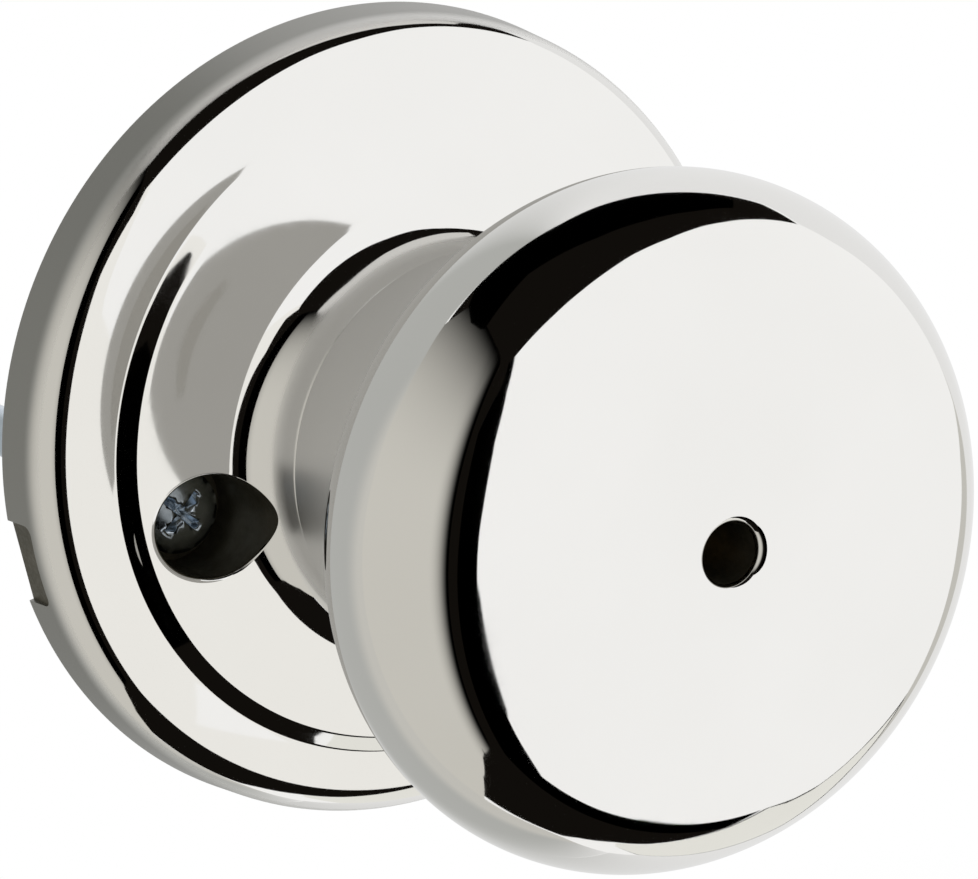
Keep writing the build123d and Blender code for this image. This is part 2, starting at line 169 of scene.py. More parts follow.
rim_lean = Vector((rim_top[0] - rose_radius, rim_height)).normalized()
rim_inward = Vector((-rim_lean.y, rim_lean.x))
band_chord = Vector(step_foot) - Vector(rim_top)
band_drop = Vector((-band_chord.y, band_chord.x)).normalized()
band_drop *= sqrt(band_crown ** 2 - band_chord.length_squared / 4)
band_centre = (Vector(rim_top) + Vector(step_foot)) / 2 + band_drop
rim_centre = round_centre(
    (rose_radius, 0), rim_lean, rim_inward, rim_round, band_centre, band_crown
)
rim_start = rim_centre - rim_inward * rim_round
rim_end = rim_centre - band_centre
rim_turn = atan2(rim_end.y, rim_end.x) - atan2(-rim_inward.y, -rim_inward.x)
foot_reach = Vector(step_foot) - band_centre
foot_heading = Vector((-foot_reach.y, foot_reach.x)).normalized()
step_heading = (Vector(step_top) - Vector(step_foot)).normalized()
foot_turn = acos(foot_heading.dot(step_heading))
foot_trim = step_round * tan(foot_turn / 2)
band_turn = atan2(foot_reach.y, foot_reach.x) - atan2(rim_end.y, rim_end.x) - foot_trim / band_crown

rosette, pen = start_outline("rosette_shell", rose_radius, 0)
pen = line_to(pen, rim_start.x, rim_start.y, 8)
pen = arc_to(pen, rim_centre, rim_turn, 14)
pen = arc_to(pen, band_centre, band_turn, 14)
pen = corner_to(pen, step_foot, step_top, step_round, 6)
pen = corner_to(pen, step_top, flare_top, step_round, 6, 2)
pen = corner_to(pen, flare_top, collar_top, collar_fillet, 20, 18)
pen = corner_to(pen, collar_top, (0, collar_height), collar_lip, 8, 5)
for point in hollow:
    pen = line_to(pen, *point)
turn_outline(turn_steps)

screw_x = 21.44
boss_radius = 6.31
boss_foot = 1.62
boss_top = 8.2
boss_flat = 16.9
plate_boss_x = 12.08
plate_boss_z = 25.9
plate_boss_radius = 3.1
plate_boss_top = 6.9
plate_hole_radius = 1.52
plate_hole_depth = 5
post_z = 14.8
post_hole_radius = 0.77
post_hole_depth = 9
cutter_foot = -1


def pick(piece):
    """Make a piece the active one, with nothing else selected."""
    bpy.ops.object.select_all(action="DESELECT")
    bpy.context.view_layer.objects.active = piece
    piece.select_set(True)


def add_post(name, radius, low, high, x, z, sides=96):
    """Add a round post or cutter that stands off the door, from one height to another."""
    bpy.ops.object.select_all(action="DESELECT")
    bpy.ops.mesh.primitive_cylinder_add(
        vertices=sides,
        radius=radius * mm,
        depth=(high - low) * mm,
        location=(x * mm, -(low + high) / 2 * mm, z * mm),
        rotation=(pi / 2, 0, 0),
    )
    bpy.context.object.name = name
    bpy.ops.object.transform_apply(location=True, rotation=True, scale=True)
    return bpy.context.object


def combine(piece, tool, operation):
    """Join a tool to a piece or cut it out of the piece, and take the tool away."""
    pick(piece)
    bpy.ops.object.modifier_add(type="BOOLEAN")
    modifier = piece.modifiers[-1]
    modifier.operation = operation
    modifier.solver = "EXACT"
    modifier.object = tool
    bpy.ops.object.modifier_apply(modifier=modifier.name)
    bpy.data.objects.remove(tool, do_unlink=True)


for side in (-1, 1):
    boss = add_post("boss", boss_radius, boss_foot, boss_top, side * screw_x, 0)
    bpy.ops.object.mode_set(mode="EDIT")
    bpy.ops.mesh.select_all(action="SELECT")
    bpy.ops.mesh.bisect(
        plane_co=(side * boss_flat * mm, 0, 0),
        plane_no=(-side, 0, 0),
        use_fill=True,
        clear_outer=True,
    )
    bpy.ops.object.mode_set(mode="OBJECT")
    combine(rosette, boss, "UNION")
for x in (-plate_boss_x, plate_boss_x):
    for z in (-plate_boss_z, plate_boss_z):
        boss = add_post("boss", plate_boss_radius, boss_foot, plate_boss_top, x, z, 48)
        combine(rosette, boss, "UNION")
        hole = add_post("cutter", plate_hole_radius, cutter_foot, plate_hole_depth, x, z, 32)
        combine(rosette, hole, "DIFFERENCE")
hole = add_post("cutter", post_hole_radius, cutter_foot, post_hole_depth, 0, post_z, 32)
combine(rosette, hole, "DIFFERENCE")

notch_width = 7.4
notch_height = 3.4
notch_depth = 0.6
notch_round = 0.9
bpy.ops.object.select_all(action="DESELECT")
bpy.ops.mesh.primitive_cube_add(size=1, location=(0, 0, 0))
notch = bpy.context.object
bpy.ops.object.mode_set(mode="EDIT")
bpy.ops.transform.resize(value=(2 * notch_depth * mm, 2 * notch_height * mm, notch_width * mm))
bpy.ops.transform.translate(value=(-rose_radius * mm, 0, 0))
bpy.ops.mesh.select_mode(type="EDGE")
bpy.ops.mesh.select_all(action="DESELECT")
bpy.ops.object.mode_set(mode="OBJECT")
for edge in notch.data.edges:
    ends = [notch.data.vertices[i].co for i in edge.vertices]
    edge.select = abs(ends[0].x - ends[1].x) > notch_depth * mm
bpy.ops.object.mode_set(mode="EDIT")
bpy.ops.mesh.bevel(offset=notch_round * mm, segments=8, affect="EDGES")
bpy.ops.object.mode_set(mode="OBJECT")
combine(rosette, notch, "DIFFERENCE")

access_radius = 4.48
access_top = 14
screw_hole_radius = 2.3
seat_height = 2.9
lip_x = 21.69
lip_radius = 4.78
lip_depth = 0.4
lip_steps = 6
lip_weld = 0.05 * mm
lip_shrink = access_radius / lip_radius
lip_pivot = (screw_x - lip_shrink * lip_x) / (1 - lip_shrink)
seat_shrink = screw_hole_radius / access_radius
hole_reach = 6
hole_middle = 2.5


def select_faces(piece, wanted):
    """Leave the piece in edit mode with the faces selected whose centre and normal are wanted."""
    pick(piece)
    bpy.ops.object.mode_set(mode="EDIT")
    bpy.ops.mesh.select_mode(type="FACE")
    bpy.ops.mesh.select_all(action="DESELECT")
    bpy.ops.object.mode_set(mode="OBJECT")
    for face in piece.data.polygons:
        face.select = wanted(face.center / mm, face.normal)
    bpy.ops.object.mode_set(mode="EDIT")


def select_rim(piece, wanted):
    """Select the open edges of the piece, in edit mode, that lie where they are wanted."""
    bpy.ops.object.mode_set(mode="EDIT")
    bpy.ops.mesh.select_mode(type="EDGE")
    bpy.ops.mesh.select_all(action="DESELECT")
    bpy.ops.mesh.select_non_manifold(
        extend=False,
        use_wire=False,
        use_boundary=True,
        use_multi_face=False,
        use_non_contiguous=False,
        use_verts=False,
    )
    bpy.ops.object.mode_set(mode="OBJECT")
    points = piece.data.vertices
    for edge in piece.data.edges:
        middle = (points[edge.vertices[0]].co + points[edge.vertices[1]].co) / 2 / mm
        edge.select = edge.select and wanted(middle)
    for point in points:
        point.select = False
    for edge in piece.data.edges:
        if edge.select:
            points[edge.vertices[0]].select = True
            points[edge.vertices[1]].select = True
    bpy.ops.object.mode_set(mode="EDIT")


def draw_in(scale, x):
    """Scale the selected rim about a line that stands off the door."""
    bpy.ops.transform.resize(value=(scale, 1, scale), center_override=(x * mm, 0, 0))


def in_lip(centre, normal):
    """Tell whether a face is in the wall of the hole that the cutter left."""
    return abs(normal.y) < 0.3 and hypot(centre.x - side * lip_x, centre.z) < lip_radius + 0.01


for side in (-1, 1):
    hole_x = side * screw_x
    pivot_x = side * lip_pivot
    cutter = add_post("cutter", lip_radius, cutter_foot, access_top, side * lip_x, 0, 128)
    combine(rosette, cutter, "DIFFERENCE")
    select_faces(rosette, in_lip)
    bpy.ops.mesh.delete(type="FACE")

    select_rim(rosette, lambda at: abs(at.x - hole_x) < hole_reach and at.y > -hole_middle)
    bpy.ops.mesh.extrude_region_move()
    draw_in(lip_shrink, pivot_x)
    draw_in(seat_shrink, hole_x)

    select_rim(rosette, lambda at: abs(at.x - hole_x) < hole_reach and at.y < -hole_middle)
    bpy.ops.mesh.remove_doubles(threshold=lip_weld)
    bpy.ops.mesh.mark_sharp()
    width, depth = 1, 0
    for step in range(1, lip_steps + 1):
        swing = step * pi / 2 / lip_steps
        next_width = 1 - (1 - lip_shrink) * sin(swing)
        next_depth = lip_depth * (1 - cos(swing))
        move = (0, (next_depth - depth) * mm, 0)
        bpy.ops.mesh.extrude_region_move(TRANSFORM_OT_translate={"value": move})
        draw_in(next_width / width, pivot_x)
        bpy.ops.mesh.mark_sharp(clear=True)
        width, depth = next_width, next_depth
    bpy.ops.mesh.extrude_region_move()
    bpy.ops.transform.resize(value=(1, 0, 1), center_override=(hole_x * mm, -seat_height * mm, 0))
    bpy.ops.mesh.extrude_region_move()
    draw_in(seat_shrink, hole_x)

    select_rim(rosette, lambda at: abs(at.x - hole_x) < hole_reach)
    bpy.ops.mesh.bridge_edge_loops()
    close_seams()

pick(rosette)
bpy.ops.object.shade_smooth_by_angle(angle=turned_smooth)


def new_group(name, inputs, outputs):
    """Make an empty shader node group with named sockets."""
    group = bpy.data.node_groups.new(name, "ShaderNodeTree")
    for socket, kind in inputs:
        group.interface.new_socket(name=socket, in_out="INPUT", socket_type=kind)
    for socket, kind in outputs:
        group.interface.new_socket(name=socket, in_out="OUTPUT", socket_type=kind)
    return group, group.nodes.new("NodeGroupInput"), group.nodes.new("NodeGroupOutput")


patina, inlet, outlet = new_group(
    "patina",
    [
        ("Tone", "NodeSocketColor"),
        ("Second Tone", "NodeSocketColor"),
        ("Patch Scale", "NodeSocketFloat"),
        ("Grain Scale", "NodeSocketFloat"),
        ("Low Roughness", "NodeSocketFloat"),
        ("High Roughness", "NodeSocketFloat"),
    ],
    [("Color", "NodeSocketColor"), ("Roughness", "NodeSocketFloat"), ("Height", "NodeSocketFloat")],
)
place = patina.nodes.new("ShaderNodeTexCoord")
patches = patina.nodes.new("ShaderNodeTexNoise")
patches.inputs["Detail"].default_value = 4.0
grain = patina.nodes.new("ShaderNodeTexNoise")
grain.inputs["Detail"].default_value = 3.0
spread = patina.nodes.new("ShaderNodeMapRange")
spread.inputs["From Min"].default_value = 0.3
spread.inputs["From Max"].default_value = 0.7
tones = patina.nodes.new("ShaderNodeMix")
tones.data_type = "RGBA"
sheen = patina.nodes.new("ShaderNodeMapRange")
sheen.inputs["From Min"].default_value = 0.25
sheen.inputs["From Max"].default_value = 0.75
patina.links.new(place.outputs["Object"], patches.inputs["Vector"])
patina.links.new(inlet.outputs["Patch Scale"], patches.inputs["Scale"])
patina.links.new(place.outputs["Object"], grain.inputs["Vector"])
patina.links.new(inlet.outputs["Grain Scale"], grain.inputs["Scale"])
patina.links.new(patches.outputs["Fac"], spread.inputs["Value"])
patina.links.new(spread.outputs["Result"], tones.inputs["Factor"])
patina.links.new(inlet.outputs["Tone"], tones.inputs["A"])
patina.links.new(inlet.outputs["Second Tone"], tones.inputs["B"])
patina.links.new(tones.outputs["Result"], outlet.inputs["Color"])
patina.links.new(grain.outputs["Fac"], sheen.inputs["Value"])
patina.links.new(inlet.outputs["Low Roughness"], sheen.inputs["To Min"])
patina.links.new(inlet.outputs["High Roughness"], sheen.inputs["To Max"])
patina.links.new(sheen.outputs["Result"], outlet.inputs["Roughness"])
patina.links.new(grain.outputs["Fac"], outlet.inputs["Height"])


def new_finish(name, metallic, tones, patch_scale, grain_scale, roughness, bump):
    """Make a material with the patina's colour, roughness and grain on its shader."""
    finish = bpy.data.materials.new(name)
    finish.use_nodes = True
    nodes, links = finish.node_tree.nodes, finish.node_tree.links
    shader = nodes["Principled BSDF"]
    shader.inputs["Metallic"].default_value = metallic
    surface = nodes.new("ShaderNodeGroup")
    surface.name = "patina"
    surface.node_tree = patina
    surface.inputs["Tone"].default_value = (*tones[0], 1)
    surface.inputs["Second Tone"].default_value = (*tones[1], 1)
    surface.inputs["Patch Scale"].default_value = patch_scale
    surface.inputs["Grain Scale"].default_value = grain_scale
    surface.inputs["Low Roughness"].default_value = roughness[0]
    surface.inputs["High Roughness"].default_value = roughness[1]
    relief = nodes.new("ShaderNodeBump")
    relief.inputs["Strength"].default_value = bump
    relief.inputs["Distance"].default_value = 0.05 * mm
    links.new(surface.outputs["Color"], shader.inputs["Base Color"])
    links.new(surface.outputs["Roughness"], shader.inputs["Roughness"])
    links.new(surface.outputs["Height"], relief.inputs["Height"])
    links.new(relief.outputs["Normal"], shader.inputs["Normal"])
    return finish


def axes(tree):
    """Give the X, Y and Z of each point of a piece, where Y runs into the door."""
    place = tree.nodes.new("ShaderNodeTexCoord")
    split = tree.nodes.new("ShaderNodeSeparateXYZ")
    tree.links.new(place.outputs["Object"], split.inputs["Vector"])
    return split.outputs


def ramp(tree, value, start, end):
    """Rise smoothly from 0 to 1 while a value runs from start to end."""
    zone = tree.nodes.new("ShaderNodeMapRange")
    zone.interpolation_type = "SMOOTHSTEP"
    zone.inputs["From Min"].default_value = start
    zone.inputs["From Max"].default_value = end
    tree.links.new(value, zone.inputs["Value"])
    return zone.outputs["Result"]


def mix_in(tree, factor, base, other):
    """Mix a number or a colour into what a socket gives, by a factor."""
    mix = tree.nodes.new("ShaderNodeMix")
    mix.data_type = "RGBA" if isinstance(other, tuple) else "FLOAT"
    mix.inputs["B"].default_value = other
    tree.links.new(factor, mix.inputs["Factor"])
    tree.links.new(base, mix.inputs["A"])
    return mix.outputs["Result"]


nickel_tones = [(0.87, 0.862, 0.842), (0.85, 0.842, 0.82)]
nickel_patches = 60
nickel_grain = 900
# Painted shade: the satin side of the rim is given a dark grey colour that ramps in from 5.3 to 3.2
# mm off the door.
satin_shade_tone = (0.34, 0.335, 0.315, 1)
satin_rough = 0.34
brushed_rough = 0.4
satin_shade_from, satin_shade_to = -5.3 * mm, -3.2 * mm
satin_rough_from, satin_rough_to = -5.4 * mm, -5.05 * mm
collar_rough_from, collar_rough_to = -12.4 * mm, -14.2 * mm
rosette_nickel = new_finish(
    "nickel_satin_rim_shade", 1.0, nickel_tones, nickel_patches, nickel_grain,
    roughness=(0.035, 0.06), bump=0.004,
)
tree = rosette_nickel.node_tree
surface, shader = tree.nodes["patina"], tree.nodes["Principled BSDF"]
depth = axes(tree)["Y"]
satin_zone = ramp(tree, depth, satin_rough_from, satin_rough_to)
collar_zone = ramp(tree, depth, collar_rough_from, collar_rough_to)
rough = mix_in(tree, satin_zone, surface.outputs["Roughness"], satin_rough)
rough = mix_in(tree, collar_zone, rough, brushed_rough)
tree.links.new(rough, shader.inputs["Roughness"])
# Painted shade on the side of the rim: the dark grey is mixed into the nickel colour towards the
# door.
satin_shade_zone = ramp(tree, depth, satin_shade_from, satin_shade_to)
tone = mix_in(tree, satin_shade_zone, surface.outputs["Color"], satin_shade_tone)
tree.links.new(tone, shader.inputs["Base Color"])

# Bare casting with painted shade: the unplated zinc in the holes, the hollow, the notch and the
# bores is coloured near-black olive, which stands in for the shade in these recesses.
casting_and_shade_tones = [(0.075, 0.068, 0.045), (0.12, 0.108, 0.08)]
bare_casting_and_shade = new_finish(
    "bare_casting_and_shade", 0.85, casting_and_shade_tones, patch_scale=400, grain_scale=2500,
    roughness=(0.3, 0.5), bump=0.25,
)
rosette.data.materials.append(rosette_nickel)
rosette.data.materials.append(bare_casting_and_shade)
skirt_reach = 32.8
collar_reach = 15.7
hollow_depth = 5.4
faces_door = 0.2
# The screw holes, the hollow, the collar's bore and the notch take the dark casting colour as
# painted shade.
for face in rosette.data.polygons:
    at = face.center / mm
    reach = hypot(at.x, at.z)
    in_hole = hypot(abs(at.x) - screw_x, at.z) < access_radius + 0.02
    in_skirt = reach < skirt_reach and (at.y > -hollow_depth or face.normal.y > faces_door)
    at_notch = abs(at.x + rose_radius - notch_depth) < 0.02
    in_notch = at_notch and at.y > -notch_height and abs(at.z) < notch_width / 2
    is_bare_or_shaded = in_hole or in_skirt or reach < collar_reach or in_notch
    face.material_index = 1 if is_bare_or_shaded else 0
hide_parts("rosette")
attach(rosette, "rose")


# Back plate and its four flat-head screws: stamped steel in bright zinc.
# The plate closes the spring pocket from behind, and its two flats clear the mounting screws.
solid_smooth = 35
flat_head_smooth = 15
solid_weld = 0.001 * mm


def smooth_copy(node, body, finish, smooth_angle=solid_smooth):
    """Copy a solid's mesh into a piece, with its triangles joined and its round faces smooth."""
    piece = bpy.data.objects.new(node + "_made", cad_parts[node].data.copy())
    bpy.context.scene.collection.objects.link(piece)
    pick(piece)
    bpy.ops.object.mode_set(mode="EDIT")
    bpy.ops.mesh.select_all(action="SELECT")
    bpy.ops.mesh.remove_doubles(threshold=solid_weld)
    bpy.ops.object.mode_set(mode="OBJECT")
    bpy.ops.object.shade_smooth_by_angle(angle=radians(smooth_angle))
    bpy.ops.object.modifier_add(type="WEIGHTED_NORMAL")
    piece.modifiers[-1].keep_sharp = True
    bpy.ops.object.modifier_apply(modifier=piece.modifiers[-1].name)
    piece.data.materials.clear()
    piece.data.materials.append(finish)
    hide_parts(node)
    if body:
        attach(piece, body)
    return piece


zinc_tones = [(0.62, 0.65, 0.69), (0.48, 0.51, 0.54)]
zinc_plate = new_finish(
    "zinc_plate", 1.0, zinc_tones, patch_scale=220, grain_scale=1400,
    roughness=(0.24, 0.42), bump=0.12,
)
blue_zinc_tones = [(0.78, 0.86, 0.95), (0.60, 0.68, 0.77)]
zinc_screw = new_finish(
    "zinc_screw", 1.0, blue_zinc_tones, patch_scale=500, grain_scale=2600,
    roughness=(0.12, 0.26), bump=0.06,
)
smooth_copy("back_plate", "rose", zinc_plate)
smooth_copy("plate_screws", "rose", zinc_screw, flat_head_smooth)


# Stop pins and spring post: short steel pins, turned bright and pressed or riveted home.
# The return spring is a torsion coil of hard-drawn wire round the sleeve.
# Its two legs lie one each side of the post.
steel_tones = [(0.60, 0.60, 0.60), (0.50, 0.50, 0.51)]
bright_steel = new_finish(
    "bright_steel", 1.0, steel_tones, patch_scale=300, grain_scale=2200,
    roughness=(0.16, 0.3), bump=0.1,
)
wire_tones = [(0.34, 0.33, 0.32), (0.24, 0.235, 0.23)]
spring_wire = new_finish(
    "spring_wire", 1.0, wire_tones, patch_scale=600, grain_scale=4000,
    roughness=(0.28, 0.44), bump=0.15,
)
smooth_copy("stop_pins", "rose", bright_steel)
smooth_copy("spring_post", "rose", bright_steel)
smooth_copy("return_spring", "rose", spring_wire)


# Collar bushing: the bearing that the knob's sleeve turns in, moulded in white acetal.
# It is pressed into the rosette's collar, and its flange keeps the knob's neck off the metal.
acetal_tones = [(0.80, 0.79, 0.76), (0.76, 0.75, 0.72)]
white_acetal = new_finish(
    "white_acetal", 0.0, acetal_tones, patch_scale=150, grain_scale=1800,
    roughness=(0.38, 0.5), bump=0.1,
)
smooth_copy("collar_bushing", "rose", white_acetal)


# Knob: a zinc casting with a shallow face, a round shoulder and a slim neck.
# It is turned, buffed to a mirror and plated in bright nickel, and drilled for the release.
knob_radius = 28.57
equator_height = 45.05
shoulder_radius = 12.15
shoulder_turn = radians(40)
brow_radius = 6.0
face_radius = 124.0
side_radius = 10.0
rear_depth = 5.45
rear_edge_round = 0.9
rear_dish = radians(5)
rear_fillet = 7.0
neck_radius = 17.1
neck_lean = radians(6)
neck_lip = 0.5
neck_start = 17.35
neck_end = (neck_radius, neck_start)
knob_bore = 12.0
face_wall = 8.9
hole_radius = 2.5
hole_round = 0.8

shoulder_centre = (knob_radius - shoulder_radius, equator_height)
brow_step = shoulder_radius - brow_radius
brow_centre = (
    shoulder_centre[0] + brow_step * cos(shoulder_turn),
    shoulder_centre[1] + brow_step * sin(shoulder_turn),
)
face_turn = asin(brow_centre[0] / (face_radius - brow_radius))
face_centre = (0, brow_centre[1] - (face_radius - brow_radius) * cos(face_turn))
bore_end = face_centre[1] + face_radius - face_wall
hole_turn = asin((hole_radius + hole_round) / (face_radius - hole_round))
hole_centre = (
    hole_radius + hole_round,
    face_centre[1] + (face_radius - hole_round) * cos(hole_turn),
)
side_centre = (knob_radius - side_radius, equator_height)
rear_turn = asin(rear_depth / side_radius)
rear_edge = (side_centre[0] + side_radius * cos(rear_turn), equator_height - rear_depth)
rear_along = (cos(rear_dish), sin(rear_dish))
rear_inward = (-sin(rear_dish), cos(rear_dish))
edge_centre = round_centre(
    rear_edge, rear_along, rear_inward, rear_edge_round, side_centre, side_radius
)
edge_reach = edge_centre - Vector(side_centre)
edge_angle = atan2(edge_reach.y, edge_reach.x)
rear_start = rear_edge[1] - tan(rear_dish) * rear_edge[0]
neck_top_radius = neck_radius + tan(neck_lean) * (rear_start - neck_start)
neck_top_radius = neck_top_radius / (1 - tan(neck_lean) * tan(rear_dish))
neck_top = (neck_top_radius, rear_start + tan(rear_dish) * neck_top_radius)

knob, pen = start_outline("knob_shell", hole_radius, bore_end)
pen = line_to(pen, hole_radius, hole_centre[1], 6)
pen = arc_to(pen, hole_centre, -(pi / 2 + hole_turn), 12)
pen = arc_to(pen, face_centre, -(face_turn - hole_turn), 36)
pen = arc_to(pen, brow_centre, -(pi / 2 - shoulder_turn - face_turn), 20)
pen = arc_to(pen, shoulder_centre, -shoulder_turn, 26)
pen = arc_to(pen, side_centre, edge_angle, 14)
pen = arc_to(pen, edge_centre, -(pi / 2 - rear_dish) - edge_angle, 10)
pen = corner_to(pen, neck_top, neck_end, rear_fillet, 26, 2)
pen = corner_to(pen, neck_end, (0, neck_start), neck_lip, 8, 20)
pen = line_to(pen, knob_bore, neck_start)
pen = line_to(pen, knob_bore, bore_end)
pen = line_to(pen, hole_radius, bore_end)
turn_outline(turn_steps)
bpy.ops.object.shade_smooth_by_angle(angle=turned_smooth)

neck_rough_from, neck_rough_to = -33 * mm, -29 * mm
knob_nickel = new_finish(
    "polished_nickel", 1.0, nickel_tones, nickel_patches, nickel_grain,
    roughness=(0.03, 0.055), bump=0.003,
)
tree = knob_nickel.node_tree
neck_zone = ramp(tree, axes(tree)["Y"], neck_rough_from, neck_rough_to)
rough = mix_in(tree, neck_zone, tree.nodes["patina"].outputs["Roughness"], brushed_rough)
tree.links.new(rough, tree.nodes["Principled BSDF"].inputs["Roughness"])
knob.data.materials.append(knob_nickel)
knob.data.materials.append(bare_casting_and_shade)
# The knob's bore and release hole take the dark casting colour as painted shade.
for face in knob.data.polygons:
    at = face.center / mm
    reach = hypot(at.x, at.z)
    in_bore = reach < knob_bore + 0.1 and at.y > -bore_end - 0.1
    in_hole = reach < hole_radius + 0.05 and at.y > -hole_centre[1]
    face.material_index = 1 if in_bore or in_hole else 0
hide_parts("knob")
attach(knob, "knob")


# Sleeve and drive hub: the knob's hollow shaft and the hub behind it, turned from bright steel.
# The sleeve's journal is pressed into the knob's neck, and the hub is keyed on the sleeve's flats.
smooth_copy("shank_sleeve", "knob", bright_steel)
smooth_copy("drive_hub", "knob", bright_steel)


# Thrust washer and retaining ring: a zinc-plated washer and an open ring of spring steel.
# They snap on behind the back plate and keep the knob from pulling out.
smooth_copy("thrust_washer", "knob", zinc_plate)
smooth_copy("retaining_ring", "knob", spring_wire)


# Spindle: a bored square bar in bright zinc that drives the latch.
# An open clip holds it in the sleeve, and a plastic bush at its far end guides the release rod.
smooth_copy("spindle", "knob", zinc_plate)
smooth_copy("spindle_clip", "knob", spring_wire)
smooth_copy("rod_bushing", "knob", white_acetal)


# Emergency release: a turned brass head behind the hole in the knob's face, on a steel rod.
# A coil of spring wire on a washer holds it forward, and a plastic liner guides it in the bore.
brass_tones = [(0.62, 0.44, 0.19), (0.50, 0.34, 0.13)]
brass = new_finish(
    "brass", 1.0, brass_tones, patch_scale=350, grain_scale=2400,
    roughness=(0.22, 0.36), bump=0.1,
)
smooth_copy("spring_seat", "knob", zinc_plate)
release_coil = smooth_copy("release_spring", None, spring_wire)
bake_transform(release_coil)
smooth_copy("head_guide", "knob", white_acetal)
smooth_copy("release_head", "release", brass)
smooth_copy("release_rod", "release", bright_steel)


# Mounting screws: two long machine screws in blue-white zinc.
# Their heads are crowned, with a cross recess.
# They go in through the rosette's holes and draw it to the door.
smooth_copy("mounting_screws", "rose", zinc_screw)


# Studio: a pale floor under the knob, white light from all round, and flags and cards about it.
# The flags are what the nickel mirrors as black, and only mirror-like surfaces see them.
# Some cards light one piece alone, and what nickel mirrors from nickel is one plain grey.
floor_size = 6
floor_height = -120 * mm
floor_tone = (0.9, 0.9, 0.9, 1)
floor_rough = 0.9
shadow_reach = 60 * mm
white_reach = 150 * mm
room_grey = (0.42, 0.415, 0.40, 1)
knob_middle = Vector((0, -47 * mm, 0))


def calculate(tree, operation, first, second):
    """Work out one value from two."""
    sum_node = tree.nodes.new("ShaderNodeMath")
    sum_node.operation = operation
    tree.links.new(first, sum_node.inputs[0])
    tree.links.new(second, sum_node.inputs[1])
    return sum_node.outputs["Value"]


def show_either(tree, factor, first, second):
    """Show one shader, and another where the factor is 1."""
    either = tree.nodes.new("ShaderNodeMixShader")
    tree.links.new(factor, either.inputs["Fac"])
    tree.links.new(first, either.inputs[1])
    tree.links.new(second, either.inputs[2])
    tree.links.new(either.outputs["Shader"], tree.nodes["Material Output"].inputs["Surface"])


bpy.ops.object.select_all(action="DESELECT")
bpy.ops.mesh.primitive_plane_add(size=floor_size, location=(0, 0, floor_height))
floor = bpy.context.object
floor.name = "floor"
bpy.ops.object.transform_apply(location=True, rotation=True, scale=True)
floor_paint = bpy.data.materials.new("floor_paint")
floor_paint.use_nodes = True
tree = floor_paint.node_tree
shader = tree.nodes["Principled BSDF"]
shader.inputs["Base Color"].default_value = floor_tone
shader.inputs["Roughness"].default_value = floor_rough
place = tree.nodes.new("ShaderNodeTexCoord")
flat = tree.nodes.new("ShaderNodeVectorMath")
flat.operation = "MULTIPLY"
flat.inputs[1].default_value = (1, 1, 0)
reach = tree.nodes.new("ShaderNodeVectorMath")
reach.operation = "LENGTH"
rays = tree.nodes.new("ShaderNodeLightPath")
glow = tree.nodes.new("ShaderNodeEmission")
tree.links.new(place.outputs["Object"], flat.inputs[0])
tree.links.new(flat.outputs["Vector"], reach.inputs[0])
fade = ramp(tree, reach.outputs["Value"], shadow_reach, white_reach)
seen = calculate(tree, "MULTIPLY", fade, rays.outputs["Is Camera Ray"])
show_either(tree, seen, shader.outputs["BSDF"], glow.outputs["Emission"])
floor.data.materials.append(floor_paint)
floor.visible_glossy = False


def add_tint(tree, colour):
    """Give a colour for what is mirrored once, and one grey for what nickel mirrors from nickel."""
    rays = tree.nodes.new("ShaderNodeLightPath")
    twice = tree.nodes.new("ShaderNodeMath")
    twice.name = "twice"
    twice.operation = "GREATER_THAN"
    twice.inputs[1].default_value = 1.5
    tint = tree.nodes.new("ShaderNodeMix")
    tint.name = "tint"
    tint.data_type = "RGBA"
    tint.inputs["A"].default_value = (*colour, 1)
    tint.inputs["B"].default_value = room_grey
    tree.links.new(rays.outputs["Glossy Depth"], twice.inputs[0])
    tree.links.new(twice.outputs["Value"], tint.inputs["Factor"])
    return tint.outputs["Result"]


sky = bpy.data.worlds.new("studio_white")
sky.use_nodes = True
tree = sky.node_tree
tree.links.new(add_tint(tree, (1, 1, 1)), tree.nodes["Background"].inputs["Color"])
tree.nodes["Background"].inputs["Strength"].default_value = 1.0
bpy.context.scene.world = sky


def heading(turn, rise):
    """Direction from the knob, by its turn to the right of straight out and its rise from level."""
    a, e = radians(turn), radians(rise)
    return Vector((sin(a) * cos(e), -cos(a) * cos(e), sin(e)))


def hang_card(name, facing, distance, corners, finish, lights=None):
    """Hang a flat card with its corners in the directions given, to light all pieces or a few."""
    middle = heading(*facing)
    spots = []
    for corner in corners:
        line = heading(*corner)
        spots.append(knob_middle + line * distance / line.dot(middle))
    card = start_point(name, spots[0])
    for before, after in zip(spots, spots[1:]):
        bpy.ops.mesh.extrude_region_move(TRANSFORM_OT_translate={"value": after - before})
    bpy.ops.mesh.select_all(action="SELECT")
    bpy.ops.mesh.edge_face_add()
    bpy.ops.object.mode_set(mode="OBJECT")
    card.data.materials.append(finish)
    card.visible_camera = False
    card.visible_diffuse = False
    card.visible_transmission = False
    card.visible_shadow = False
    if lights:
        card.light_linking.receiver_collection = lights


def new_glow(name, colour):
    """Make an even glow for a card, black for a flag."""
    finish = bpy.data.materials.new(name)
    finish.use_nodes = True
    nodes, links = finish.node_tree.nodes, finish.node_tree.links
    nodes.remove(nodes["Principled BSDF"])
    light = nodes.new("ShaderNodeEmission")
    light.name = "light"
    links.new(add_tint(finish.node_tree, colour), light.inputs["Color"])
    links.new(light.outputs["Emission"], nodes["Material Output"].inputs["Surface"])
    return finish


